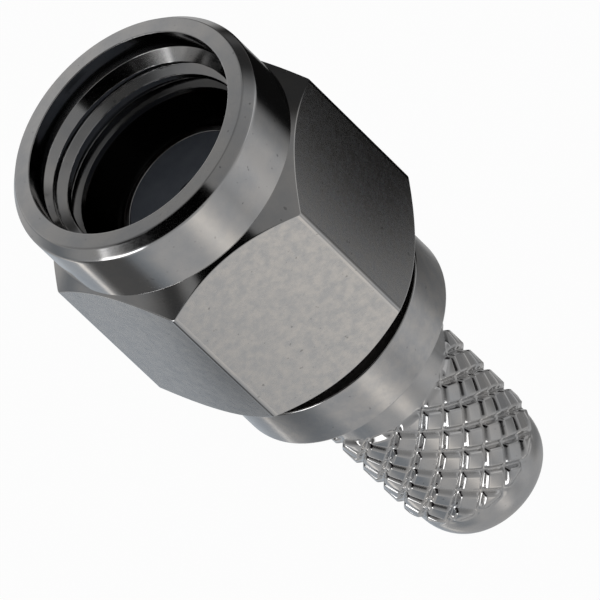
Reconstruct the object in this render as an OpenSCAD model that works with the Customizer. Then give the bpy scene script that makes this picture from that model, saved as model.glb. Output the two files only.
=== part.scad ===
// Straight crimp plug of a small threaded coaxial connector: a hexagon coupling nut that turns
// freely on a turned body with a knurled crimp stem. Millimetres. The axis is Z, the stem's end
// face lies on z = 0 and the mating end opens towards +Z.

/* [Coupling nut] */
// Width of the hexagon across its flats
nut_af = 8; // [7.8:0.1:9.5]
// Length of the nut from its rim to its rear face
nut_l = 8.7; // [8.4:0.1:9.5]
// Diameter of the round collar in front of the hexagon
collar_d = 7.96; // [7.7:0.02:8]
// Length of the collar from the rim to the undercut
collar_l = 2.16; // [1.2:0.04:3]
// Radial depth of the undercut between collar and hexagon
undercut = 0.14; // [0.06:0.02:0.3]
// Outer diameter of the flat rim
rim_d = 7.48; // [7:0.04:7.6]
// Length of the cone from the rim to the collar
rim_cone_l = 0.34; // [0.1:0.02:0.8]
// Distance from the undercut to the front edge of each flat
flat_front_l = 0.16; // [0.1:0.02:0.5]
// Slope of the hexagon's front and rear chamfers from the flat end
chamfer_slope = 42; // [20:1:50]
// Distance from the rear face to the rear edge of each flat
flat_rear_l = 0.08; // [0.04:0.02:0.5]

/* [Coupling thread] */
// Diameter of the plain lead-in at the mouth
mouth_d = 6.52; // [6.4:0.02:6.8]
// Depth of the plain lead-in
mouth_l = 0.75; // [0.4:0.05:1.2]
// Length of the cone from the lead-in to the thread crests
lead_l = 0.55; // [0.1:0.05:0.6]
// Major diameter of the thread
thread_d = 6.35; // [6.2:0.05:6.5]
// Diameter over the thread crests
crest_d = 5.7; // [5.56:0.02:5.8]
// Length of the threaded wall
thread_l = 1.3; // [1:0.1:2.1]

/* [Body] */
// Diameter of the shoulder ring behind the nut
ring_d = 7.03; // [6.4:0.05:7.8]
// Length of the shoulder ring
ring_l = 1.65; // [1:0.05:3]
// Open gap between the nut's rear face and the shoulder ring
nut_gap = 0.75; // [0.2:0.05:1.2]
// Diameter of the barrel that the nut turns on
barrel_d = 5.4; // [5.3:0.05:5.45]
// Radial running clearance between the nut and the barrel
run_clear = 0.05; // [0.02:0.01:0.08]
// Depth of the mating face below the nut's rim
face_depth = 3.3; // [3.25:0.05:4]
// Diameter of the nose that the gasket sits on
nose_d = 4.6; // [4.5:0.05:4.8]
// Length of the nose from the gasket seat to the mating face
nose_l = 1.9; // [1.2:0.1:2.2]
// Size of the chamfer on the nose and the shoulder ring
edge = 0.08; // [0.04:0.01:0.12]

/* [Crimp stem] */
// Diameter of the plain neck behind the shoulder ring
neck_d = 4.38; // [4.2:0.02:4.8]
// Length of the plain neck
neck_l = 1.955; // [0.8:0.005:3]
// Diameter over the knurl's crests
knurl_d = 4.56; // [4.4:0.02:4.9]
// Depth of the knurl's grooves
knurl_depth = 0.17; // [0.06:0.01:0.25]
// Number of grooves of each hand around the stem
knurl_starts = 14; // [8:1:20]
// Distance along the stem from one diamond to the next
knurl_pitch = 1.1; // [0.8:0.05:1.6]
// Length of the knurl in quarters of its pitch
knurl_rows = 18; // [10:1:26]
// Quarters of the pitch from the lip to the first crossing of two grooves
knurl_lead = 1; // [0:1:3]
// Turn of the knurl about the axis in degrees
knurl_turn = 2.8; // [0:0.1:25]
// Diameter of the plain lip at the stem's end
lip_d = 4.24; // [4.1:0.02:4.6]
// Length of the plain lip
lip_l = 1.05; // [0.95:0.05:1.5]
// Radial width of the lip's rounded nose
lip_nose_w = 0.45; // [0.1:0.05:0.5]
// Length of the lip's rounded nose
lip_nose_l = 0.9; // [0.2:0.05:0.9]
// Bore of the stem for the cable's core
stem_bore = 3; // [2.6:0.05:3.3]

/* [Insulator and contact] */
// Diameter of the insulator
insulator_d = 4.1; // [3.6:0.05:4.2]
// Length of the insulator
insulator_l = 7.1; // [6.6:0.1:7.6]
// Thickness of the insulator's front wall
insulator_web = 0.6; // [0.4:0.05:1.5]
// Diameter of the centre contact
contact_d = 1.27; // [1.15:0.01:1.6]
// Length of the centre contact
contact_l = 5.4; // [5.1:0.1:5.9]
// Bore of the contact's front socket
socket_d = 0.94; // [0.8:0.02:1]
// Depth of the contact's front socket
socket_l = 2.8; // [2:0.1:3]
// Width of the slots between the socket's four fingers
slot_w = 0.14; // [0.08:0.02:0.18]
// Bore of the solder cup at the contact's rear
cup_d = 0.96; // [0.7:0.02:1]
// Depth of the solder cup
cup_l = 1.8; // [1:0.1:2]

/* [Retaining ring and gasket] */
// Distance of the retaining ring from the nut's rear face
clip_at = 1.3; // [0.8:0.05:1.6]
// Thickness of the retaining ring along the axis
clip_t = 0.6; // [0.4:0.05:0.8]
// Radial width of the retaining ring
clip_w = 0.72; // [0.6:0.02:0.74]
// Width of the retaining ring's split
clip_gap = 0.9; // [0.4:0.1:1.5]
// Depth of the groove in the barrel
clip_groove = 0.38; // [0.3:0.01:0.38]
// Play between the retaining ring and its grooves
clip_play = 0.06; // [0.04:0.01:0.1]
// Thickness of the gasket along the axis
gasket_t = 0.5; // [0.3:0.05:0.8]
// Radial width of the gasket
gasket_w = 0.34; // [0.2:0.02:0.36]

/* [Hidden] */
$fn = 96;

nickel = [0.62, 0.61, 0.59];
gold = [0.83, 0.62, 0.24];
bronze = [0.62, 0.42, 0.24];
slate = [0.16, 0.19, 0.23];
silicone = [0.45, 0.13, 0.08];

// Cutters reach this far past what they cut
reach = 1;

// Levels along the axis, from the stem's end to the rim
knurl_step = knurl_pitch / 4;
z_knurl = lip_l;
z_neck = z_knurl + knurl_rows * knurl_step;
z_ring = z_neck + neck_l;
z_barrel = z_ring + ring_l;
z_nut = z_barrel + nut_gap;
z_rim = z_nut + nut_l;
z_collar = z_rim - collar_l;
z_face = z_rim - face_depth;
z_seat = z_face - nose_l;
z_insulator = z_face - insulator_l;
z_contact = z_face - insulator_web - contact_l;
z_clip = z_nut + clip_at;

// Inside of the nut
seat_proud = 0.4;
z_web = z_seat - seat_proud;
z_crest = z_rim - mouth_l - lead_l;
z_relief = z_crest - thread_l;
bore_r = barrel_d / 2 + run_clear;
relief_r = thread_d / 2 + run_clear;

// Retaining ring and its grooves
clip_in_r = barrel_d / 2 - clip_groove + clip_play;
clip_out_r = clip_in_r + clip_w;
nut_groove_r = clip_out_r + clip_play;

// Knurl lattice: four points for each groove around, one row for each quarter pitch along
knurl_cols = 4 * knurl_starts;
knurl_r = knurl_d / 2;
groove_r = knurl_r - knurl_depth;
root_r = groove_r - 0.06;
core_r = root_r - 0.04;
shoulder = 0.92;

// A point of the lattice lies on a diamond's centre, on its shoulder or in a groove
function on_groove(k) = (k + 4 * knurl_rows) % 4 == 0;
function on_shoulder(i, j) = (i + j + knurl_lead) % 2 == 1;
function lattice_height(i, j) =
    on_shoulder(i, j) ? shoulder :
    on_groove(i + j - knurl_lead) || on_groove(i - j + knurl_lead) ? 0 : 1;
function lattice_r(i, j) =
    j == 0 || j == knurl_rows ? root_r : groove_r + knurl_depth * lattice_height(i, j);

// The knurled sleeve, its first and last row sunk into the lip and the neck
module knurl() {
    sink = 0.05;
    points = [
        for (j = [0 : knurl_rows], i = [0 : knurl_cols - 1])
            let (
                a = i * 360 / knurl_cols + knurl_turn,
                r = lattice_r(i, j),
                z = z_knurl + j * knurl_step + (j == 0 ? -sink : j == knurl_rows ? sink : 0)
            )
            [r * cos(a), r * sin(a), z]
    ];
    at = function (i, j) j * knurl_cols + i % knurl_cols;
    sides = [
        for (j = [0 : knurl_rows - 1], i = [0 : knurl_cols - 1])
            let (a = at(i, j), b = at(i + 1, j), c = at(i + 1, j + 1), d = at(i, j + 1))
            each on_shoulder(i, j) ? [[a, d, b], [b, d, c]] : [[a, c, b], [a, d, c]]
    ];
    bottom = [for (i = [0 : knurl_cols - 1]) at(i, 0)];
    top = [for (i = [knurl_cols - 1 : -1 : 0]) at(i, knurl_rows)];
    polyhedron(points, concat(sides, [bottom, top]));
}

// Outline of the body's outside, from the stem's end to the mating face
module body_outline() {
    polygon(concat(
        [[0, 0]],
        [for (a = [0 : 15 : 90]) [lip_d / 2 - lip_nose_w * (1 - sin(a)), lip_nose_l * (1 - cos(a))]],
        [
            [lip_d / 2, z_knurl],
            [core_r, z_knurl],
            [core_r, z_neck],
            [neck_d / 2, z_neck],
            [neck_d / 2, z_ring],
            [ring_d / 2 - edge, z_ring],
            [ring_d / 2, z_ring + edge],
            [ring_d / 2, z_barrel - edge],
            [ring_d / 2 - edge, z_barrel],
            [barrel_d / 2, z_barrel],
            [barrel_d / 2, z_clip],
            [barrel_d / 2 - clip_groove, z_clip],
            [barrel_d / 2 - clip_groove, z_clip + clip_t + clip_play],
            [barrel_d / 2, z_clip + clip_t + clip_play],
            [barrel_d / 2, z_seat],
            [nose_d / 2, z_seat],
            [nose_d / 2, z_face - edge],
            [nose_d / 2 - edge, z_face],
            [0, z_face]
        ]
    ));
}

// Turned body: crimp stem, shoulder ring, barrel and nose in one piece
module body() {
    color(nickel)
    difference() {
        union() {
            rotate_extrude() body_outline();
            knurl();
        }
        translate([0, 0, -reach]) cylinder(d = stem_bore, h = z_insulator + 2 * reach);
        translate([0, 0, z_insulator]) cylinder(d = insulator_d, h = insulator_l + reach);
    }
}

// Half section that the hexagon is chamfered by
module hexagon_outline() {
    flat_r = nut_af / 2;
    corner_r = flat_r / cos(30);
    drop = (corner_r - flat_r) * tan(chamfer_slope);
    inset = flat_rear_l / tan(chamfer_slope);
    front = z_collar - flat_front_l;
    rear = z_nut + flat_rear_l;
    under_r = collar_d / 2 - undercut;
    polygon([
        [0, z_nut],
        [flat_r - inset, z_nut],
        [flat_r, rear],
        [corner_r, rear + drop],
        [corner_r + 1, rear + drop],
        [corner_r + 1, front - drop],
        [corner_r, front - drop],
        [under_r, front + (flat_r - under_r) * tan(chamfer_slope)],
        [0, front + (flat_r - under_r) * tan(chamfer_slope)]
    ]);
}

// Round core of the nut with its collar and rim
module collar_outline() {
    under_r = collar_d / 2 - undercut;
    polygon([
        [0, z_nut + reach],
        [under_r, z_nut + reach],
        [under_r, z_collar],
        [collar_d / 2, z_collar],
        [collar_d / 2, z_rim - rim_cone_l],
        [rim_d / 2, z_rim],
        [0, z_rim]
    ]);
}

// Inside of the nut: rear bore with the ring's groove, relief, thread wall and mouth
module nut_bore_outline() {
    polygon([
        [0, z_nut - reach],
        [bore_r + edge, z_nut - reach],
        [bore_r + edge, z_nut],
        [bore_r, z_nut + edge],
        [bore_r, z_clip - 2 * clip_play],
        [nut_groove_r, z_clip - 2 * clip_play],
        [nut_groove_r, z_clip + clip_t + 2 * clip_play],
        [bore_r, z_clip + clip_t + 2 * clip_play],
        [bore_r, z_web],
        [relief_r, z_web],
        [relief_r, z_relief],
        [crest_d / 2, z_relief],
        [crest_d / 2, z_crest],
        [mouth_d / 2, z_crest + lead_l],
        [mouth_d / 2, z_rim + reach],
        [0, z_rim + reach]
    ]);
}

// Coupling nut: hexagon, collar and threaded mouth in one piece
module coupling_nut() {
    color(nickel)
    difference() {
        union() {
            intersection() {
                translate([0, 0, z_nut - reach])
                rotate([0, 0, 30])
                cylinder(d = nut_af / cos(30), h = nut_l + reach, $fn = 6);
                rotate_extrude() hexagon_outline();
            }
            rotate_extrude() collar_outline();
        }
        rotate_extrude() nut_bore_outline();
    }
}

// Insulator: a plug with a thin front wall and a bore that holds the contact
module insulator() {
    entry_clear = 0.03;
    color(slate)
    translate([0, 0, z_insulator])
    difference() {
        cylinder(d = insulator_d, h = insulator_l);
        translate([0, 0, -reach]) cylinder(d = contact_d, h = insulator_l - insulator_web + reach);
        cylinder(d = socket_d + 2 * entry_clear, h = insulator_l + reach);
    }
}

// Centre contact: a slotted socket in front and a solder cup behind
module centre_contact() {
    slot_l = 0.8 * socket_l;
    color(gold)
    translate([0, 0, z_contact])
    difference() {
        cylinder(d = contact_d, h = contact_l);
        translate([0, 0, -reach]) cylinder(d = cup_d, h = cup_l + reach);
        translate([0, 0, contact_l - socket_l]) cylinder(d = socket_d, h = socket_l + reach);
        for (a = [45, 135])
            rotate([0, 0, a])
            translate([-contact_d, -slot_w / 2, contact_l - slot_l])
            cube([2 * contact_d, slot_w, slot_l + reach]);
    }
}

// Split spring ring that holds the nut on the barrel
module retaining_ring() {
    color(bronze)
    translate([0, 0, z_clip])
    difference() {
        cylinder(r = clip_out_r, h = clip_t);
        translate([0, 0, -reach]) cylinder(r = clip_in_r, h = clip_t + 2 * reach);
        translate([0, -clip_gap / 2, -reach]) cube([nut_af, clip_gap, clip_t + 2 * reach]);
    }
}

// Sealing ring around the nose, on the barrel's front shoulder
module gasket() {
    color(silicone)
    translate([0, 0, z_seat])
    difference() {
        cylinder(r = nose_d / 2 + gasket_w, h = gasket_t);
        translate([0, 0, -reach]) cylinder(d = nose_d, h = gasket_t + 2 * reach);
    }
}

coupling_nut();
body();
insulator();
centre_contact();
retaining_ring();
gasket();
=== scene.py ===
"""Looks of a straight coaxial crimp plug: nickel nut and body, insulator, contact, clip and gasket.

Every surface is a closed outline in the half-plane (radius, height), carried around the axis.
Lengths are metres, the axis is +Z and the stem's end lies on z = 0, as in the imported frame.
"""

import logging
import math
from dataclasses import dataclass
from enum import Enum

import bpy
import numpy as np
from mathutils import Matrix, Vector

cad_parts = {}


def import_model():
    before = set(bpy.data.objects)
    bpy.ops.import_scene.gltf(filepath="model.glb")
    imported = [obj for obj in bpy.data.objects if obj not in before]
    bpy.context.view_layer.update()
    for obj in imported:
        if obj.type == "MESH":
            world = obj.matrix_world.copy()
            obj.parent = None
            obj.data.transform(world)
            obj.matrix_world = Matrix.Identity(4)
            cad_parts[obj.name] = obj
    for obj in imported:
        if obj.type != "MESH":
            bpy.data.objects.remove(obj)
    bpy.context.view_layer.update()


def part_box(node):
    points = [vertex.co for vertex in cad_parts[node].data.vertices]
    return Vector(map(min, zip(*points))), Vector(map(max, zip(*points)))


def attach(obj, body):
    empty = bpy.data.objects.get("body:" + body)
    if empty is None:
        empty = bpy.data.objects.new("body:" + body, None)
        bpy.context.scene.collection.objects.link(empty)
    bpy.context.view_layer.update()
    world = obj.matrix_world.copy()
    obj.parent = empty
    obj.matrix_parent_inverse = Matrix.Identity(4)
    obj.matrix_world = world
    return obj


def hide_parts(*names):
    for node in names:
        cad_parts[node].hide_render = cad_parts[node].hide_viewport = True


LOG = logging.getLogger("crimp_plug")
MM = 0.001


# ---------------------------------------------------------------- shapes


@dataclass(frozen=True)
class Corner:
    """A corner of an outline: radius and height, which may vary around the axis, and a rounding."""

    r: float | np.ndarray
    z: float | np.ndarray
    rounding: float = 0.0


def corner_array(corners: list[Corner], columns: int) -> np.ndarray:
    """Stack corners into an array of shape (corners, columns, 2).

    Args:
        corners: the outline's corners in order.
        columns: how many columns the surface has around the axis.

    Returns:
        Radius and height of each corner in each column.
    """
    flat = np.zeros((len(corners), columns, 2))
    for k, corner in enumerate(corners):
        flat[k, :, 0] = corner.r
        flat[k, :, 1] = corner.z
    return flat


def rounded_outline(corners: list[Corner], columns: int, steps: int = 5) -> np.ndarray:
    """Round the inner corners of an open outline.

    A rounding of radius q in a corner of opening angle w touches both sides at q / tan(w / 2)
    from the corner. Its points are turned from one touching point to the other about the
    centre, which lies at q / sin(w / 2) along the bisector. One more point on each side, a
    little further out, keeps the shading of the long faces flat.

    Args:
        corners: the outline's corners in order; the first and the last stay sharp.
        columns: how many columns the surface has around the axis.
        steps: points on each arc.

    Returns:
        Points of shape (rows, columns, 2).
    """
    points = corner_array(corners, columns)
    rows = [points[:1]]
    for k in range(1, len(corners) - 1):
        q = corners[k].rounding
        here = points[k]
        if q <= 0:
            rows.append(here[None])
            continue
        back = points[k - 1] - here
        ahead = points[k + 1] - here
        back_length = np.linalg.norm(back, axis=1, keepdims=True)
        ahead_length = np.linalg.norm(ahead, axis=1, keepdims=True)
        back = back / back_length
        ahead = ahead / ahead_length
        half = 0.5 * np.arccos(np.clip((back * ahead).sum(1, keepdims=True), -1, 1))
        touch = q / np.tan(half)
        middle = back + ahead
        middle = middle / np.linalg.norm(middle, axis=1, keepdims=True)
        centre = here + middle * q / np.sin(half)
        start = here + back * touch - centre
        end = here + ahead * touch - centre
        sweep = math.pi - 2 * half
        guard = 0.35 * q
        rows.append((here + back * np.minimum(touch + guard, 0.5 * (touch + back_length)))[None])
        share = np.linspace(0, 1, steps)[:, None, None]
        arc = (np.sin((1 - share) * sweep) * start + np.sin(share * sweep) * end) / np.sin(sweep)
        rows.append(centre + arc)
        rows.append((here + ahead * np.minimum(touch + guard, 0.5 * (touch + ahead_length)))[None])
    rows.append(points[-1:])
    return np.concatenate(rows)


def ring_mesh(
    name: str,
    outline: np.ndarray,
    angles: np.ndarray,
    slots: np.ndarray | None = None,
    closed_ring: bool = True,
) -> bpy.types.Object:
    """Carry a closed outline around the axis and make one watertight mesh.

    The point in row i and column j is (r cos a, r sin a, z) with r and z from the outline and a
    from angles. Rows close on themselves, and so do columns unless the ring is split, in which
    case one many-sided face closes each end.

    Args:
        name: name of the new object.
        outline: array (rows, columns, 2), counter-clockwise in (radius, height).
        angles: angle of each column, rising.
        slots: material slot of the face that starts in each row and column.
        closed_ring: whether the last column joins the first.

    Returns:
        The object, at the origin.
    """
    rows, columns = outline.shape[:2]
    r, z = outline[..., 0], outline[..., 1]
    co = np.stack([r * np.cos(angles), r * np.sin(angles), z], axis=-1).reshape(-1, 3)
    i = np.arange(rows)[:, None]
    j = np.arange(columns if closed_ring else columns - 1)[None, :]
    i_next, j_next = (i + 1) % rows, (j + 1) % columns
    quads = np.stack(
        [i * columns + j, i * columns + j_next, i_next * columns + j_next, i_next * columns + j],
        axis=-1,
    ).reshape(-1, 4)
    loops = quads.ravel()
    starts = np.arange(len(quads)) * 4
    if not closed_ring:
        caps = np.concatenate([np.arange(rows) * columns, np.arange(rows)[::-1] * columns + columns - 1])
        starts = np.concatenate([starts, len(loops) + np.array([0, rows])])
        loops = np.concatenate([loops, caps])
    mesh = bpy.data.meshes.new(name)
    mesh.vertices.add(len(co))
    mesh.vertices.foreach_set("co", co.ravel())
    mesh.loops.add(len(loops))
    mesh.loops.foreach_set("vertex_index", loops.astype(np.int32))
    mesh.polygons.add(len(starts))
    mesh.polygons.foreach_set("loop_start", starts.astype(np.int32))
    mesh.update(calc_edges=True)
    mesh.validate()
    mesh.polygons.foreach_set("use_smooth", np.ones(len(starts), dtype=bool))
    if slots is not None:
        mesh.polygons.foreach_set("material_index", slots.ravel().astype(np.int32))
    piece = bpy.data.objects.new(name, mesh)
    bpy.context.scene.collection.objects.link(piece)
    return piece


def row_middles(outline: np.ndarray) -> tuple[np.ndarray, np.ndarray]:
    """Mean radius and height of the band of faces between each row and the next."""
    band = (outline + np.roll(outline, -1, axis=0)) / 2
    return band[..., 0].mean(axis=1), band[..., 1].mean(axis=1)


def even_angles(columns: int) -> np.ndarray:
    """Angles of evenly spaced columns, from 0 up to a full turn less one column."""
    return np.linspace(0, 2 * math.pi, columns, endpoint=False)


# ---------------------------------------------------------------- finishes


class Grain(Enum):
    """How a metal surface was worked, which sets the direction of its fine marks."""

    TURNED = "turned"
    DRAWN = "drawn"
    ROLLED = "rolled"


class NodeBoard:
    """The node tree of a material or a world, emptied, with short ways to add nodes."""

    def __init__(self, owner: bpy.types.Material | bpy.types.World) -> None:
        """Turn on the owner's nodes and take the default ones away."""
        owner.use_nodes = True
        self.tree = owner.node_tree
        self.tree.nodes.clear()

    def add(self, kind: str, **settings: object) -> bpy.types.Node:
        """Add a node and set its own properties."""
        node = self.tree.nodes.new(kind)
        for key, value in settings.items():
            setattr(node, key, value)
        return node

    def join(self, source: bpy.types.NodeSocket, target: bpy.types.NodeSocket) -> None:
        """Link one socket to another."""
        self.tree.links.new(source, target)

    def math(self, operation: str, *values: object) -> bpy.types.NodeSocket:
        """Add a Math node fed by sockets or numbers and return its output."""
        node = self.add("ShaderNodeMath", operation=operation)
        for socket, value in zip(node.inputs, values):
            if isinstance(value, bpy.types.NodeSocket):
                self.join(value, socket)
            else:
                socket.default_value = value
        return node.outputs[0]

    def noise(
        self, vector: bpy.types.NodeSocket, scale: float, detail: float, rough: float = 0.5
    ) -> bpy.types.NodeSocket:
        """Add a noise texture on a vector and return its factor."""
        node = self.add("ShaderNodeTexNoise")
        self.join(vector, node.inputs["Vector"])
        node.inputs["Scale"].default_value = scale
        node.inputs["Detail"].default_value = detail
        node.inputs["Roughness"].default_value = rough
        return node.outputs["Fac"]

    def ranged(
        self, value: bpy.types.NodeSocket, low: float, high: float, to_low: float, to_high: float
    ) -> bpy.types.NodeSocket:
        """Map a value from one range to another, held within it."""
        node = self.add("ShaderNodeMapRange")
        self.join(value, node.inputs["Value"])
        for key, number in (
            ("From Min", low),
            ("From Max", high),
            ("To Min", to_low),
            ("To Max", to_high),
        ):
            node.inputs[key].default_value = number
        return node.outputs["Result"]

    def soft_step(
        self, value: bpy.types.NodeSocket, edge: float, soft: float
    ) -> bpy.types.NodeSocket:
        """Smooth step from 1 to 0 as a value grows past an edge; up from 0 if soft is negative.

        Args:
            value: what is compared with the edge.
            edge: where the step is halfway.
            soft: how far the step reaches on each side of the edge.

        Returns:
            The share, from 0 to 1.
        """
        node = self.add("ShaderNodeMapRange", interpolation_type="SMOOTHSTEP")
        self.join(value, node.inputs["Value"])
        node.inputs["From Min"].default_value = edge + soft
        node.inputs["From Max"].default_value = edge - soft
        return node.outputs["Result"]

    def blend(
        self,
        share: bpy.types.NodeSocket,
        first: bpy.types.NodeSocket | tuple[float, float, float],
        second: tuple[float, float, float],
    ) -> bpy.types.NodeSocket:
        """Mix two colours by a share and return the colour."""
        node = self.add("ShaderNodeMix", data_type="RGBA")
        self.join(share, node.inputs["Factor"])
        if isinstance(first, bpy.types.NodeSocket):
            self.join(first, node.inputs["A"])
        else:
            node.inputs["A"].default_value = (*first, 1)
        node.inputs["B"].default_value = (*second, 1)
        return node.outputs["Result"]

    def radius(self, x: bpy.types.NodeSocket, y: bpy.types.NodeSocket) -> bpy.types.NodeSocket:
        """Distance from the axis: the root of x x + y y."""
        squares = self.math("ADD", self.math("MULTIPLY", x, x), self.math("MULTIPLY", y, y))
        return self.math("SQRT", squares)

    def bump(self, height: bpy.types.NodeSocket, depth: float) -> bpy.types.Node:
        """Add a bump of a height from 0 to 1 times a depth and return its node."""
        node = self.add("ShaderNodeBump")
        node.inputs["Distance"].default_value = depth
        self.join(height, node.inputs["Height"])
        return node


def new_material(name: str) -> tuple[bpy.types.Material, NodeBoard, bpy.types.Node]:
    """Make a material with one Principled shader.

    Args:
        name: name of the material.

    Returns:
        The material, its node board and the Principled node.
    """
    material = bpy.data.materials.new(name)
    board = NodeBoard(material)
    shader = board.add("ShaderNodeBsdfPrincipled")
    output = board.add("ShaderNodeOutputMaterial")
    board.join(shader.outputs["BSDF"], output.inputs["Surface"])
    return material, board, shader


@dataclass(frozen=True)
class MetalFinish:
    """A bare or plated metal with fine working marks and a faint mottle."""

    name: str
    light: tuple[float, float, float]
    dark: tuple[float, float, float]
    grain: Grain
    roughness: tuple[float, float] = (0.1, 0.14)
    mark_depth: float = 0.3e-6
    mottle_scale: float = 900.0
    crown: float = 0.0
    # heights over which the colour darkens towards the lower one, with its share and colour: painted
    # shade inside a bore
    depth_shade: tuple[float, float] | None = None
    depth_shade_share: float = 0.8
    depth_shade_colour: tuple[float, float, float] = (0.06, 0.06, 0.06)
    speck_scale: float = 6667.0
    speck_share: float = 0.4
    line_scale: float = 16000.0
    speckle_scale: float = 11000.0
    drawn_stretch: float = 0.12

    def colour(
        self,
        board: NodeBoard,
        place: bpy.types.NodeSocket,
        mottle: bpy.types.NodeSocket,
        z: bpy.types.NodeSocket,
    ) -> bpy.types.NodeSocket:
        """Base colour: two tones in soft patches, a few dark specks, and painted shade further into a
        bore.
        """
        tone = board.blend(board.ranged(mottle, 0.35, 0.65, 0, 1), self.light, self.dark)
        specks = board.noise(place, self.speck_scale, 1.0, 0.4)
        share = board.ranged(specks, 0.74, 0.8, 0, self.speck_share)
        # painted shade: the colour darkens further down a bore, where its shade falls
        if self.depth_shade is not None:
            painted_shade = board.ranged(z, *self.depth_shade, self.depth_shade_share, 0)
            share = board.math("MAXIMUM", share, painted_shade)
        return board.blend(share, tone, self.depth_shade_colour)

    def crown_normal(
        self, board: NodeBoard, x: bpy.types.NodeSocket, y: bpy.types.NodeSocket
    ) -> bpy.types.NodeSocket:
        """Normal of hexagon flats that polishing has left slightly crowned.

        With t the distance along a flat from its middle, which is the radius times the sine of
        the angle from the nearest multiple of 60 degrees, the height falls by crown t t.
        """
        angle = board.math("WRAP", board.math("ARCTAN2", y, x), math.pi / 6, -math.pi / 6)
        along = board.math("MULTIPLY", board.radius(x, y), board.math("SINE", angle))
        fall = board.math("MULTIPLY", board.math("MULTIPLY", along, along), -self.crown)
        return board.bump(fall, 1.0).outputs["Normal"]

    def material(self) -> bpy.types.Material:
        """Build the material.

        Turned marks are noise on (radius, height) alone, so they run around the axis. Drawn
        marks are noise squeezed along the axis. Rolled metal has even, fine grain.
        """
        material, board, shader = new_material(self.name)
        place = board.add("ShaderNodeTexCoord").outputs["Object"]
        split = board.add("ShaderNodeSeparateXYZ")
        board.join(place, split.inputs[0])
        x, y, z = split.outputs
        marks = board.add("ShaderNodeCombineXYZ")
        if self.grain is Grain.TURNED:
            board.join(board.radius(x, y), marks.inputs[0])
            board.join(z, marks.inputs[2])
        elif self.grain is Grain.DRAWN:
            board.join(x, marks.inputs[0])
            board.join(y, marks.inputs[1])
            board.join(board.math("MULTIPLY", z, self.drawn_stretch), marks.inputs[2])
        else:
            board.join(place, marks.inputs[0])
        lines = board.noise(marks.outputs[0], self.line_scale, 3.0, 0.6)
        speckle = board.noise(place, self.speckle_scale, 2.0, 0.6)
        mottle = board.noise(place, self.mottle_scale, 3.0, 0.6)
        board.join(self.colour(board, place, mottle, z), shader.inputs["Base Color"])
        shader.inputs["Metallic"].default_value = 1.0
        rough = board.ranged(board.math("ADD", speckle, mottle), 0.7, 1.3, *self.roughness)
        board.join(rough, shader.inputs["Roughness"])
        height = board.math(
            "ADD", board.math("MULTIPLY", lines, 0.7), board.math("MULTIPLY", speckle, 0.5)
        )
        bump = board.bump(height, self.mark_depth)
        if self.crown > 0:
            board.join(self.crown_normal(board, x, y), bump.inputs["Normal"])
        board.join(bump.outputs["Normal"], shader.inputs["Normal"])
        return material


@dataclass(frozen=True)
class MouldedFinish:
    """A matte plastic or rubber with a fine even grain."""

    name: str
    light: tuple[float, float, float]
    dark: tuple[float, float, float]
    roughness: float
    tone_scale: float = 1800.0
    grain_scale: float = 14000.0
    grain_depth: float = 2e-6

    def material(self) -> bpy.types.Material:
        """Build the material from two scales of noise."""
        material, board, shader = new_material(self.name)
        place = board.add("ShaderNodeTexCoord").outputs["Object"]
        tone = board.noise(place, self.tone_scale, 3.0, 0.6)
        grain = board.noise(place, self.grain_scale, 2.0, 0.6)
        board.join(
            board.blend(board.ranged(tone, 0.3, 0.7, 0, 1), self.light, self.dark),
            shader.inputs["Base Color"],
        )
        shader.inputs["Roughness"].default_value = self.roughness
        bump = board.bump(grain, self.grain_depth)
        board.join(bump.outputs["Normal"], shader.inputs["Normal"])
        return material


NICKEL_LIGHT = (0.67, 0.655, 0.64)
NICKEL_DARK = (0.57, 0.575, 0.585)
NICKEL_TURNED = MetalFinish("nickel_turned", NICKEL_LIGHT, NICKEL_DARK, Grain.TURNED)
# the bored mouth's colour darkens further into the mouth: painted shade
NICKEL_BORED = MetalFinish(
    "nickel_bored", NICKEL_LIGHT, NICKEL_DARK, Grain.TURNED, (0.1, 0.14), 0.15e-6,
    depth_shade=(16.85 * MM, 17.35 * MM),
)
NICKEL_FACED = MetalFinish(
    "nickel_faced", NICKEL_LIGHT, NICKEL_DARK, Grain.TURNED, (0.18, 0.23), 0.4e-6
)
NICKEL_SATIN = MetalFinish(
    "nickel_satin", NICKEL_LIGHT, NICKEL_DARK, Grain.TURNED, (0.14, 0.2), 0.3e-6, 2500.0
)
# a darker, rougher copy of the nickel: painted shade on hidden faces in the gaps between nut and body
# and in the bores
NICKEL_SHADED = MetalFinish(
    "nickel_shaded", (0.28, 0.27, 0.26), (0.2, 0.2, 0.2), Grain.TURNED, (0.25, 0.35), 0.4e-6
)
NICKEL_DRAWN = MetalFinish(
    "nickel_drawn", NICKEL_LIGHT, NICKEL_DARK, Grain.DRAWN, (0.23, 0.3), 0.2e-6, 3800.0, 9.5
)
NICKEL_ROLLED = MetalFinish(
    "nickel_rolled", NICKEL_LIGHT, NICKEL_DARK, Grain.ROLLED, (0.1, 0.16), 0.2e-6
)
GOLD_PLATE = MetalFinish(
    "gold_plate", (0.9, 0.66, 0.28), (0.82, 0.58, 0.22), Grain.TURNED, (0.15, 0.25)
)
SPRING_BRONZE = MetalFinish(
    "spring_bronze", (0.66, 0.42, 0.24), (0.52, 0.32, 0.18), Grain.ROLLED, (0.18, 0.28)
)
# the insulator's dark bluish grey is painted shade: a white fluoropolymer sitting far inside the nut's
# mouth
FLUOROPOLYMER_SHADED = MouldedFinish("fluoropolymer_shaded", (0.3, 0.33, 0.39), (0.24, 0.27, 0.33), 0.45)
SILICONE = MouldedFinish("silicone", (0.45, 0.13, 0.08), (0.38, 0.1, 0.06), 0.6)


# ---------------------------------------------------------------- the plug's pieces


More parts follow.
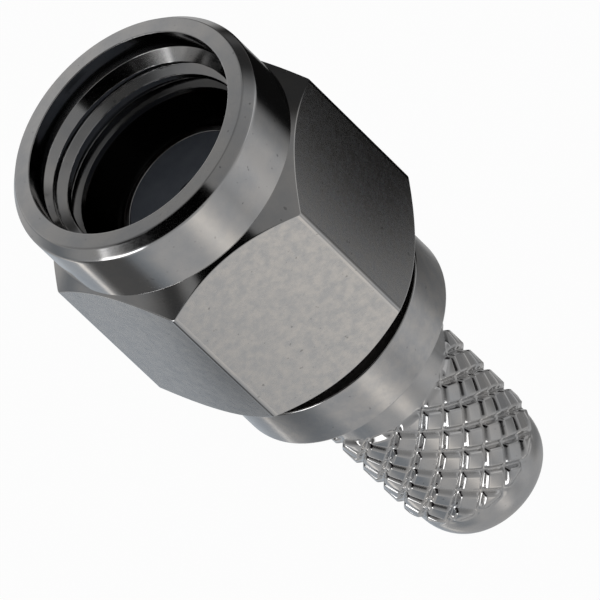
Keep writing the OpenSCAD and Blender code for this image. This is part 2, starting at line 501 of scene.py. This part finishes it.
@dataclass
class CouplingNut:
    """The hexagon nut with its round collar, threaded mouth and rear bore."""

    across_flats: float = 8.0 * MM
    collar_r: float = 3.98 * MM
    collar_l: float = 2.16 * MM
    undercut: float = 0.14 * MM
    rim_r: float = 3.74 * MM
    rim_cone_l: float = 0.34 * MM
    rim_fall: float = 0.02 * MM
    rim_round: float = 0.15 * MM
    flat_front_l: float = 0.16 * MM
    flat_rear_l: float = 0.08 * MM
    chamfer_slope: float = math.radians(42)
    mouth_r: float = 3.26 * MM
    mouth_l: float = 0.75 * MM
    lead_l: float = 0.55 * MM
    root_r: float = 3.12 * MM
    crest_r: float = 2.85 * MM
    thread_l: float = 1.3 * MM
    pitch: float = 0.7056 * MM
    crest_flat: float = 0.28
    root_flat: float = 0.28
    thread_start: float = 0.57
    relief_r: float = 3.225 * MM
    bore_r: float = 2.75 * MM
    web_z: float = 13.455 * MM
    clip_low_z: float = 11.535 * MM
    clip_high_z: float = 12.375 * MM
    clip_groove_r: float = 3.16 * MM
    edge_round: float = 0.06 * MM
    corner_round: float = 0.12 * MM
    guard_turn: float = 0.012
    face_margin: float = 0.01 * MM
    rear_margin: float = 0.3 * MM
    mouth_start: float = 0.2 * MM
    bore_chamfer: float = 0.08 * MM
    flat_columns: int = 26
    arc_columns: int = 7
    thread_rows: int = 150

    def columns(self) -> tuple[np.ndarray, np.ndarray, np.ndarray]:
        """Angles around the nut, close together at the hexagon's rounded edges.

        A flat's last column stays a guard turn away from the edge, which keeps its shading flat.
        The distance of the hexagon's surface from the axis is a / cos(t) on a flat, t being the
        angle from its middle. On an edge it is the far side of a circle of the rounding's
        radius q, whose centre lies at (a - q) / cos(30 degrees) from the axis.

        Returns:
            Angles, distances from the axis and whether each column starts a face on a flat.
        """
        a, q = self.across_flats / 2, self.corner_round
        centre = (a - q) / math.cos(math.pi / 6)
        flat_end = math.atan2(centre * math.sin(math.pi / 6), a)
        last = flat_end - self.guard_turn
        flat = np.linspace(-last, last, self.flat_columns)
        arc = np.linspace(flat_end, math.pi / 3 - flat_end, self.arc_columns)
        one = np.concatenate([flat, arc])
        on_flat = np.concatenate([np.ones(len(flat) - 1, int), np.zeros(1 + len(arc), int)])
        turn = np.arange(6)[:, None] * (math.pi / 3)
        angles = (turn + one[None, :]).ravel()
        from_edge = arc - math.pi / 6
        reach = centre * np.cos(from_edge) + np.sqrt(q**2 - (centre * np.sin(from_edge)) ** 2)
        radius = np.tile(np.concatenate([a / np.cos(flat), reach]), 6)
        return angles, radius, np.tile(on_flat, 6)

    def outer_corners(self, hexagon_r: np.ndarray, low: float, high: float) -> list[Corner]:
        """Corners from the rim's inner edge, down the outside and up the rear bore.

        The chamfers are cones: their edge on the hexagon moves along the axis by the slope
        times the amount by which the hexagon is wider there than at the middle of a flat.
        """
        slope = math.tan(self.chamfer_slope)
        a, q = self.across_flats / 2, self.edge_round
        collar_z = high - self.collar_l
        front = collar_z - self.flat_front_l
        rear = low + self.flat_rear_l
        under_r = self.collar_r - self.undercut
        drop = (hexagon_r - a) * slope
        rear_r = a - self.flat_rear_l / slope
        fine = 0.4 * q
        return [
            Corner(self.mouth_r, high - self.mouth_start),
            Corner(self.mouth_r, high, fine),
            Corner(self.rim_r, high - self.rim_fall, q),
            Corner(self.collar_r, high - self.rim_cone_l, self.rim_round),
            Corner(self.collar_r, collar_z, fine),
            Corner(under_r, collar_z, 0.1 * q),
            Corner(under_r, front + (a - under_r) * slope, 0.1 * q),
            Corner(hexagon_r, front - drop, q),
            Corner(hexagon_r, rear + drop, q),
            Corner(rear_r, low, fine),
            Corner(self.bore_r + self.bore_chamfer, low, fine),
            Corner(self.bore_r, low + self.bore_chamfer, fine),
            Corner(self.bore_r, self.clip_low_z, fine),
            Corner(self.clip_groove_r, self.clip_low_z, fine),
            Corner(self.clip_groove_r, self.clip_high_z, fine),
            Corner(self.bore_r, self.clip_high_z, fine),
            Corner(self.bore_r, self.web_z, fine),
            Corner(self.relief_r, self.web_z, fine),
            Corner(self.relief_r, high - self.mouth_l - self.lead_l - self.thread_l, 0),
        ]

    def thread_block(self, angles: np.ndarray, high: float) -> np.ndarray:
        """Rows of the threaded wall and its lead-in cone.

        With u the depth in pitches plus the turn's share, measured from a crest's upper edge,
        the wall keeps the crest's radius along the crest flat, widens evenly to the root flat
        and narrows again to the next crest. The lead-in cone cuts the crests off towards the
        mouth, so the wall is the larger of the two radii.
        """
        top = high - self.mouth_l
        crest_z = top - self.lead_l
        z = np.linspace(crest_z - self.thread_l, top, self.thread_rows)[:, None]
        u = (angles[None, :] / (2 * math.pi) - (z - high) / self.pitch + self.thread_start) % 1.0
        flank = (1 - self.crest_flat - self.root_flat) / 2
        rise = np.clip(np.minimum(u - self.crest_flat, 1 - u) / flank, 0, 1)
        groove = self.crest_r + (self.root_r - self.crest_r) * rise
        cone = self.crest_r + (self.mouth_r - self.crest_r) * (z - crest_z) / self.lead_l
        r = np.maximum(groove, cone)
        return np.stack([r, np.broadcast_to(z, r.shape)], axis=-1)

    def build(self) -> bpy.types.Object:
        """Make the nut and dress it.

        The flats have a drawn grain. The rim's face and the bored mouth have finishes of their own,
        the rear face and rear bore a darker nickel as painted shade, and the rest is turned.

        Returns:
            The nut.
        """
        low_corner, high_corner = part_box("coupling_nut")
        low, high = low_corner.z, high_corner.z
        angles, hexagon_r, on_flat = self.columns()
        outer = rounded_outline(self.outer_corners(hexagon_r, low, high), len(angles))
        thread = self.thread_block(angles, high)
        outline = np.concatenate([outer, thread])[::-1]
        wide = outline[..., 0].max(axis=1) > self.collar_r * 1.02
        upright = np.abs(outline[..., 0] - np.roll(outline[..., 0], -1, axis=0)).max(axis=1) < 1e-7
        middle_r, middle_z = row_middles(outline)
        turned, drawn, bored, faced, shaded = range(5)
        half_flats = self.across_flats / 2
        rows = np.full(len(outline), turned)
        rows[middle_r < self.mouth_r + self.face_margin] = bored
        rows[(middle_z > high - 3 * self.face_margin) & (middle_r > self.mouth_r)] = faced
        # painted shade: the rear face and the rear bore take the darker nickel
        rows[(middle_z < low + self.face_margin) & (middle_r < half_flats)] = shaded
        rows[(middle_z < self.clip_low_z) & (middle_r < half_flats - self.rear_margin)] = shaded
        flats = (wide & upright)[:, None] & (on_flat > 0)[None, :]
        nut = ring_mesh("nut_shell", outline, angles, np.where(flats, drawn, rows[:, None]))
        for finish in (NICKEL_TURNED, NICKEL_DRAWN, NICKEL_BORED, NICKEL_FACED, NICKEL_SHADED):
            nut.data.materials.append(finish.material())
        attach(nut, "nut")
        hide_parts("coupling_nut")
        return nut


@dataclass
class PlugBody:
    """The turned body: knurled stem, shoulder ring, barrel and nose around one through bore."""

    lip_r: float = 2.12 * MM
    lip_l: float = 1.05 * MM
    nose_w: float = 0.45 * MM
    nose_l: float = 0.9 * MM
    neck_r: float = 2.19 * MM
    neck_l: float = 1.955 * MM
    knurl_r: float = 2.28 * MM
    knurl_depth: float = 0.17 * MM
    knurl_l: float = 4.95 * MM
    knurl_pitch: float = 1.1 * MM
    knurl_starts: int = 14
    knurl_turn: float = math.radians(2.8)
    first_crossing: float = 0.275 * MM
    groove_half: float = 0.14 * MM
    knurl_fade: tuple[float, float] = (0.45 * MM, 0.3 * MM)
    ring_r: float = 3.515 * MM
    ring_l: float = 1.65 * MM
    barrel_r: float = 2.7 * MM
    clip_z: float = 11.655 * MM
    clip_l: float = 0.66 * MM
    clip_groove: float = 0.38 * MM
    seat_z: float = 13.855 * MM
    front_r: float = 2.3 * MM
    insulator_r: float = 2.05 * MM
    insulator_z: float = 8.655 * MM
    bore_r: float = 1.5 * MM
    edge: float = 0.05 * MM
    bore_start: float = 1.0 * MM
    bore_margin: float = 0.1 * MM
    face_margin: float = 0.001 * MM
    columns: int = 392
    knurl_rows: int = 126
    lip_arc_rows: int = 15

    def knurl_block(self, angles: np.ndarray) -> np.ndarray:
        """Rows of the knurl.

        Two families of grooves of opposite hand cross. The distance to the nearest groove of
        each, in shares of the spacing, is that of (starts times the turn's share, plus or less
        the height in pitches) to a whole number. The spacing across a groove is the inverse of
        the root of (starts over the circumference) squared plus (one over the pitch) squared.
        A groove's side rises as 0.4 t + 0.6 (3 t t - 2 t t t), t being the distance over the
        groove's half width, and the product of the two families' heights leaves flat-topped
        diamonds.
        """
        z = np.linspace(self.lip_l, self.lip_l + self.knurl_l, self.knurl_rows)[:, None]
        around = self.knurl_starts * (angles[None, :] - self.knurl_turn) / (2 * math.pi)
        along = (z - self.lip_l - self.first_crossing) / self.knurl_pitch
        per_length = math.hypot(
            self.knurl_starts / (2 * math.pi * self.knurl_r), 1 / self.knurl_pitch
        )

        def height(family: np.ndarray) -> np.ndarray:
            """Height across one family's grooves, 0 in a groove and 1 on a diamond."""
            distance = np.abs((family + 0.5) % 1.0 - 0.5) / per_length
            t = np.clip(distance / self.groove_half, 0, 1)
            return 0.4 * t + 0.6 * t * t * (3 - 2 * t)

        diamond = height(around + along) * height(around - along)
        fade = np.clip((z - self.lip_l) / self.knurl_fade[0], 0, 1)
        fade = np.minimum(fade, (self.lip_l + self.knurl_l - z) / self.knurl_fade[1])
        fade = fade * fade * (3 - 2 * fade)
        ends_r = np.where(z < self.lip_l + self.knurl_l / 2, self.lip_r, self.neck_r)
        field_r = self.knurl_r - self.knurl_depth * (1 - diamond)
        r = ends_r + (field_r - ends_r) * fade
        return np.stack([r, np.broadcast_to(z, r.shape)], axis=-1)

    def lip_rows(self, columns: int) -> np.ndarray:
        """Rows of the lip: a quarter ellipse from the end face out to the lip's radius."""
        turn = np.linspace(0, math.pi / 2, self.lip_arc_rows)
        r = self.lip_r - self.nose_w * (1 - np.sin(turn))
        z = self.nose_l * (1 - np.cos(turn))
        rows = np.stack([r, z], axis=-1)
        return np.repeat(rows[:, None], columns, axis=1)

    def build(self) -> bpy.types.Object:
        """Make the body and dress it.

        The knurl is rolled and bright, the lip and the neck are faced, the bore and the barrel
        under the nut take a darker nickel as painted shade, and the rest is satin.

        Returns:
            The body.
        """
        angles = even_angles(self.columns)
        q = self.edge
        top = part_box("body")[1].z
        neck_z = self.lip_l + self.knurl_l
        ring_z = neck_z + self.neck_l
        barrel_z = ring_z + self.ring_l
        end = [
            Corner(self.bore_r, self.bore_start),
            Corner(self.bore_r, 0, 0.6 * q),
            Corner(self.lip_r - self.nose_w, 0),
        ]
        front = [
            Corner(self.neck_r, neck_z),
            Corner(self.neck_r, ring_z, q),
            Corner(self.ring_r, ring_z, 1.2 * q),
            Corner(self.ring_r, barrel_z, q),
            Corner(self.barrel_r, barrel_z, q),
            Corner(self.barrel_r, self.clip_z, 0.5 * q),
            Corner(self.barrel_r - self.clip_groove, self.clip_z, 0.5 * q),
            Corner(self.barrel_r - self.clip_groove, self.clip_z + self.clip_l, 0.5 * q),
            Corner(self.barrel_r, self.clip_z + self.clip_l, 0.5 * q),
            Corner(self.barrel_r, self.seat_z, q),
            Corner(self.front_r, self.seat_z, q),
            Corner(self.front_r, top, 1.4 * q),
            Corner(self.insulator_r, top, 0.5 * q),
            Corner(self.insulator_r, self.insulator_z, 0.5 * q),
            Corner(self.bore_r, self.insulator_z, 0.5 * q),
            Corner(self.bore_r, 1.5 * self.bore_start),
        ]
        outline = np.concatenate(
            [
                rounded_outline(end, self.columns)[:-1],
                self.lip_rows(self.columns),
                self.knurl_block(angles),
                rounded_outline(front, self.columns)[1:],
            ]
        )
        middle_r, middle_z = row_middles(outline)
        satin, rolled, faced, shaded = range(4)
        rows = np.where(middle_z < ring_z, faced, satin)
        rows[(middle_z > self.lip_l) & (middle_z < neck_z)] = rolled
        # painted shade: the bore and the barrel under the nut take the darker nickel
        rows[middle_r < self.bore_r + self.bore_margin] = shaded
        under_nut = (middle_z > barrel_z - self.face_margin) & (
            middle_z < self.seat_z + self.face_margin
        )
        rows[under_nut] = shaded
        body = ring_mesh("body_shell", outline, angles, np.repeat(rows, self.columns))
        for finish in (NICKEL_SATIN, NICKEL_ROLLED, NICKEL_FACED, NICKEL_SHADED):
            body.data.materials.append(finish.material())
        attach(body, "plug_body")
        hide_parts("body")
        return body


@dataclass
class Inlay:
    """The pieces inside: insulator, contact, retaining ring and gasket."""

    insulator_r: float = 2.05 * MM
    contact_r: float = 0.635 * MM
    entry_r: float = 0.5 * MM
    web: float = 0.6 * MM
    clip_in_r: float = 2.38 * MM
    clip_out_r: float = 3.1 * MM
    clip_gap: float = 0.9 * MM
    gasket_in_r: float = 2.3 * MM
    gasket_out_r: float = 2.64 * MM
    columns: int = 128

    def insulator(self) -> bpy.types.Object:
        """Insulator: a round plug with a small entry hole and a stepped bore."""
        low, high = (corner.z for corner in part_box("insulator"))
        q = 0.03 * MM
        corners = [
            Corner(self.contact_r, low + 1.0 * MM),
            Corner(self.contact_r, low, q),
            Corner(self.insulator_r, low, q),
            Corner(self.insulator_r, high, q),
            Corner(self.entry_r, high, q),
            Corner(self.entry_r, high - self.web, 0.2 * q),
            Corner(self.contact_r, high - self.web, 0),
            Corner(self.contact_r, low + 1.5 * MM),
        ]
        angles = even_angles(self.columns)
        piece = ring_mesh("insulator_plug", rounded_outline(corners, self.columns), angles)
        # its colour paints the shade inside the nut's mouth
        piece.data.materials.append(FLUOROPOLYMER_SHADED.material())
        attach(piece, "plug_body")
        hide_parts("insulator")
        return piece

    def contact(self) -> None:
        """Centre contact: the frame's own solid, dressed in gold."""
        node = bpy.data.objects["centre_contact"]
        node.data.materials.clear()
        node.data.materials.append(GOLD_PLATE.material())

    def retaining_ring(self) -> bpy.types.Object:
        """Split spring ring: a rounded rectangle carried around all but the split."""
        low, high = (corner.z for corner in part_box("retaining_ring"))
        half_split = math.asin(self.clip_gap / 2 / self.clip_in_r)
        angles = np.linspace(half_split, 2 * math.pi - half_split, self.columns)
        q = 0.06 * MM
        middle = (low + high) / 2
        corners = [
            Corner(self.clip_in_r, middle),
            Corner(self.clip_in_r, low, q),
            Corner(self.clip_out_r, low, q),
            Corner(self.clip_out_r, high, q),
            Corner(self.clip_in_r, high, q),
            Corner(self.clip_in_r, middle + 0.05 * MM),
        ]
        outline = rounded_outline(corners, self.columns)
        piece = ring_mesh("spring_clip", outline, angles, closed_ring=False)
        piece.data.materials.append(SPRING_BRONZE.material())
        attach(piece, "plug_body")
        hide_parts("retaining_ring")
        return piece

    def gasket(self) -> bpy.types.Object:
        """Gasket: a soft ring with well rounded edges around the nose."""
        low, high = (corner.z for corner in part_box("gasket"))
        q = 0.1 * MM
        middle = (low + high) / 2
        corners = [
            Corner(self.gasket_in_r, middle),
            Corner(self.gasket_in_r, low, q),
            Corner(self.gasket_out_r, low, q),
            Corner(self.gasket_out_r, high, q),
            Corner(self.gasket_in_r, high, q),
            Corner(self.gasket_in_r, middle + 0.05 * MM),
        ]
        angles = even_angles(self.columns)
        piece = ring_mesh("seal_ring", rounded_outline(corners, self.columns), angles)
        piece.data.materials.append(SILICONE.material())
        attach(piece, "plug_body")
        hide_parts("gasket")
        return piece


# ---------------------------------------------------------------- studio


class Tint(Enum):
    """Colour cast of a lamp or of a stretch of sky."""

    PLAIN = (1.0, 1.0, 1.0)
    WARM = (1.04, 1.0, 0.95)
    COOL = (0.93, 1.0, 1.08)

    def at(self, level: float) -> tuple[float, float, float]:
        """The colour at a brightness."""
        red, green, blue = self.value
        return level * red, level * green, level * blue


def direction(azimuth: float, elevation: float) -> Vector:
    """Unit vector towards an azimuth and an elevation in degrees."""
    az, el = math.radians(azimuth), math.radians(elevation)
    return Vector((math.cos(el) * math.cos(az), math.cos(el) * math.sin(az), math.sin(el)))


def square(name: str, half: float, material: bpy.types.Material) -> bpy.types.Object:
    """Make a level square about the origin.

    Args:
        name: name of the new object.
        half: half of its side.
        material: what it wears.

    Returns:
        The object.
    """
    mesh = bpy.data.meshes.new(name)
    corners = [(-half, -half, 0), (half, -half, 0), (half, half, 0), (-half, half, 0)]
    mesh.from_pydata(corners, [], [(0, 1, 2, 3)])
    mesh.materials.append(material)
    piece = bpy.data.objects.new(name, mesh)
    bpy.context.scene.collection.objects.link(piece)
    return piece


@dataclass(frozen=True)
class SoftPanel:
    """A soft lamp, or a dark flag, far away in one direction; sizes and places in degrees."""

    azimuth: float
    elevation: float
    half_width: float
    half_height: float
    soft_width: float
    soft_height: float
    level: float
    tint: Tint = Tint.PLAIN


@dataclass(frozen=True)
class NearFlag:
    """A small soft-edged dark flag close to the part, seen only in its polished surfaces.

    It hangs square to a direction from a point on the axis. Right is the way that azimuths
    rise, and its reaches are lengths from its middle.
    """

    azimuth: float
    elevation: float
    height: float
    left: float
    right: float
    low: float
    level: float
    high: float = 14.0 * MM
    distance: float = 14.0 * MM
    soft_side: float = 2.0 * MM
    soft_foot: float = 2.5 * MM

    def build(self) -> None:
        """Make the flag: a square with a mask of four soft edges."""
        half = max(-self.left, self.right, -self.low, self.high) + self.soft_foot
        material = bpy.data.materials.new("dark_flag")
        board = NodeBoard(material)
        split = board.add("ShaderNodeSeparateXYZ")
        board.join(board.add("ShaderNodeTexCoord").outputs["Object"], split.inputs[0])
        x, y, _ = split.outputs
        across = board.math(
            "MULTIPLY",
            board.soft_step(x, self.left, -self.soft_side),
            board.soft_step(x, self.right, self.soft_side),
        )
        upward = board.math(
            "MULTIPLY",
            board.soft_step(y, self.low, -self.soft_foot),
            board.soft_step(y, self.high, self.soft_foot),
        )
        dark = board.add("ShaderNodeEmission")
        dark.inputs["Strength"].default_value = self.level
        mix = board.add("ShaderNodeMixShader")
        board.join(board.math("MULTIPLY", across, upward), mix.inputs[0])
        board.join(board.add("ShaderNodeBsdfTransparent").outputs[0], mix.inputs[1])
        board.join(dark.outputs[0], mix.inputs[2])
        output = board.add("ShaderNodeOutputMaterial")
        board.join(mix.outputs[0], output.inputs["Surface"])
        flag = square("flag", half, material)
        away = direction(self.azimuth, self.elevation)
        rightward = Vector((0, 0, 1)).cross(away).normalized()
        up = away.cross(rightward)
        turn = Matrix((rightward, up, away)).transposed().to_4x4()
        place = Vector((0, 0, self.height)) + away * self.distance
        flag.matrix_world = Matrix.Translation(place) @ turn
        flag.visible_camera = False
        flag.visible_diffuse = False
        flag.visible_shadow = False


SHADE_FLAG = NearFlag(65, -40, 14.5 * MM, -7.3 * MM, 8.0 * MM, -3.0 * MM, 0.005)
COLLAR_FLAG = NearFlag(-134, -42, 15.0 * MM, -5.0 * MM, 4.0 * MM, -2.5 * MM, 0.09)


@dataclass
class Studio:
    """White room for the camera; soft lamps and dark flags for everything else."""

    floor_half: float = 1.5
    floor_glow: float = 1.03
    glow_share: float = 0.94
    sky: tuple[tuple[float, float], ...] = (
        (-90, 0.42),
        (-50, 0.43),
        (-30, 0.43),
        (-10, 0.38),
        (5, 0.34),
        (20, 0.26),
        (30, 0.22),
        (50, 0.22),
        (65, 0.15),
        (90, 0.13),
    )
    panels: tuple[SoftPanel, ...] = (
        # the ground: a warm glow in front, cool light behind it to the left, streaks between
        SoftPanel(-31, -42, 4, 14, 8, 8, 0.34),
        SoftPanel(-5, -42, 6, 14, 10, 8, 0.5),
        SoftPanel(-62, -45, 8, 17, 12, 8, 0.78, Tint.WARM),
        SoftPanel(160, -42, 24, 12, 12, 8, 0.4, Tint.COOL),
        SoftPanel(146, -44, 10, 10, 8, 8, 0.5, Tint.COOL),
        SoftPanel(-134, -42, 20, 7, 10, 5, 0.26, Tint.COOL),
        SoftPanel(-176, -42, 2.5, 12, 2, 5, 1.1, Tint.WARM),
        # the shaded side
        SoftPanel(76, 10, 28, 20, 14, 8, 0.03),
        SoftPanel(66, -38, 38, 12, 12, 6, 0.22),
        SoftPanel(-175, 0, 22, 6, 8, 6, 0.18, Tint.COOL),
        # a low lamp to the right, and the key lamp
        SoftPanel(20, 0, 18, 7, 6, 4, 0.6),
        SoftPanel(-120, 2, 16, 14, 3, 3, 3.0),
        # the black stand around the camera, and the dark ceiling above it
        SoftPanel(-70, 40, 32, 20, 3, 3, 0.0),
        SoftPanel(-114, 30, 13, 8, 3, 3, 0.0),
        SoftPanel(-131, 46, 16, 9, 6, 5, 0.04),
        SoftPanel(-100, 75, 70, 12, 30, 5, 0.05),
        # the window opposite the camera
        SoftPanel(140, 31, 26, 10, 12, 5, 0.5),
    )

    def sky_colour(
        self, board: NodeBoard, elevation: bpy.types.NodeSocket
    ) -> bpy.types.NodeSocket:
        """Plain sky: a brightness for each elevation, even around the horizon."""
        ramp = board.add("ShaderNodeValToRGB")
        board.join(board.ranged(elevation, -90, 90, 0, 1), ramp.inputs["Fac"])
        points = ramp.color_ramp.elements
        for k, (height, level) in enumerate(self.sky):
            place = (height + 90) / 180
            point = points.new(place) if 0 < k < len(self.sky) - 1 else points[-1 if k else 0]
            point.color = (*Tint.PLAIN.at(level), 1)
        return ramp.outputs["Color"]

    def world(self) -> None:
        """Sky: white to the camera, the plain sky and the panels over it to everything else."""
        world = bpy.data.worlds.new("studio")
        bpy.context.scene.world = world
        board = NodeBoard(world)
        split = board.add("ShaderNodeSeparateXYZ")
        board.join(board.add("ShaderNodeTexCoord").outputs["Generated"], split.inputs[0])
        x, y, z = split.outputs
        degree = 180 / math.pi
        azimuth = board.math("MULTIPLY", board.math("ARCTAN2", y, x), degree)
        elevation = board.math("MULTIPLY", board.math("ARCSINE", z), degree)
        colour = self.sky_colour(board, elevation)
        for panel in self.panels:
            across = board.math("SUBTRACT", azimuth, panel.azimuth)
            across = board.math("ABSOLUTE", board.math("WRAP", across, 180.0, -180.0))
            upward = board.math("ABSOLUTE", board.math("SUBTRACT", elevation, panel.elevation))
            share = board.math(
                "MULTIPLY",
                board.soft_step(across, panel.half_width, panel.soft_width),
                board.soft_step(upward, panel.half_height, panel.soft_height),
            )
            colour = board.blend(share, colour, panel.tint.at(panel.level))
        camera_ray = board.add("ShaderNodeLightPath").outputs["Is Camera Ray"]
        background = board.add("ShaderNodeBackground")
        board.join(board.blend(camera_ray, colour, (1, 1, 1)), background.inputs["Color"])
        output = board.add("ShaderNodeOutputWorld")
        board.join(background.outputs[0], output.inputs["Surface"])

    def floor(self) -> None:
        """Pale floor: near white to the camera with a faint soft shadow; mirrors see the sky."""
        material = bpy.data.materials.new("pale_floor")
        board = NodeBoard(material)
        diffuse = board.add("ShaderNodeBsdfDiffuse")
        diffuse.inputs["Color"].default_value = (0.8, 0.8, 0.8, 1)
        glow = board.add("ShaderNodeEmission")
        glow.inputs["Strength"].default_value = self.floor_glow
        camera_ray = board.add("ShaderNodeLightPath").outputs["Is Camera Ray"]
        mix = board.add("ShaderNodeMixShader")
        board.join(board.math("MULTIPLY", camera_ray, self.glow_share), mix.inputs[0])
        board.join(diffuse.outputs[0], mix.inputs[1])
        board.join(glow.outputs[0], mix.inputs[2])
        output = board.add("ShaderNodeOutputMaterial")
        board.join(mix.outputs[0], output.inputs["Surface"])
        floor = square("floor", self.floor_half, material)
        floor.visible_glossy = False


@dataclass(frozen=True)
class Viewpoint:
    """Where the camera stands: it looks at a point on the axis from afar, rolled to one side."""

    target: tuple[float, float, float] = (-0.04 * MM, -0.03 * MM, 10.05 * MM)
    azimuth: float = -51.12
    elevation: float = 42.44
    roll: float = 46.2
    distance: float = 0.3729
    lens: float = 796.8
    clip: tuple[float, float] = (0.01, 20.0)

    def build(self) -> None:
        """Make the camera.

        Its axis is the direction from the target at the azimuth and elevation, and its up is
        the world's up turned about that axis by the roll, so that up leans to the left.
        """
        roll = math.radians(self.roll)
        back = direction(self.azimuth, self.elevation)
        level = Vector((0, 0, 1)).cross(back).normalized()
        upward = back.cross(level)
        right = level * math.cos(roll) - upward * math.sin(roll)
        up = level * math.sin(roll) + upward * math.cos(roll)
        turn = Matrix((right, up, back)).transposed().to_4x4()
        camera_data = bpy.data.cameras.new("camera")
        camera_data.lens = self.lens
        camera_data.clip_start, camera_data.clip_end = self.clip
        camera = bpy.data.objects.new("camera", camera_data)
        bpy.context.scene.collection.objects.link(camera)
        camera.matrix_world = Matrix.Translation(Vector(self.target) + back * self.distance) @ turn
        bpy.context.scene.camera = camera


def main() -> None:
    """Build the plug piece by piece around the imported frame, then the studio."""
    logging.basicConfig(level=logging.INFO, format="%(message)s")
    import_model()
    Viewpoint().build()
    studio = Studio()
    studio.world()
    studio.floor()
    for flag in (SHADE_FLAG, COLLAR_FLAG):
        flag.build()
    bpy.context.scene.view_settings.view_transform = "Standard"
    for piece in (CouplingNut().build(), PlugBody().build()):
        LOG.info("%s: %d faces", piece.name, len(piece.data.polygons))
    inlay = Inlay()
    inlay.contact()
    for piece in (inlay.insulator(), inlay.retaining_ring(), inlay.gasket()):
        LOG.info("%s: %d faces", piece.name, len(piece.data.polygons))


if __name__ == "__main__":
    main()
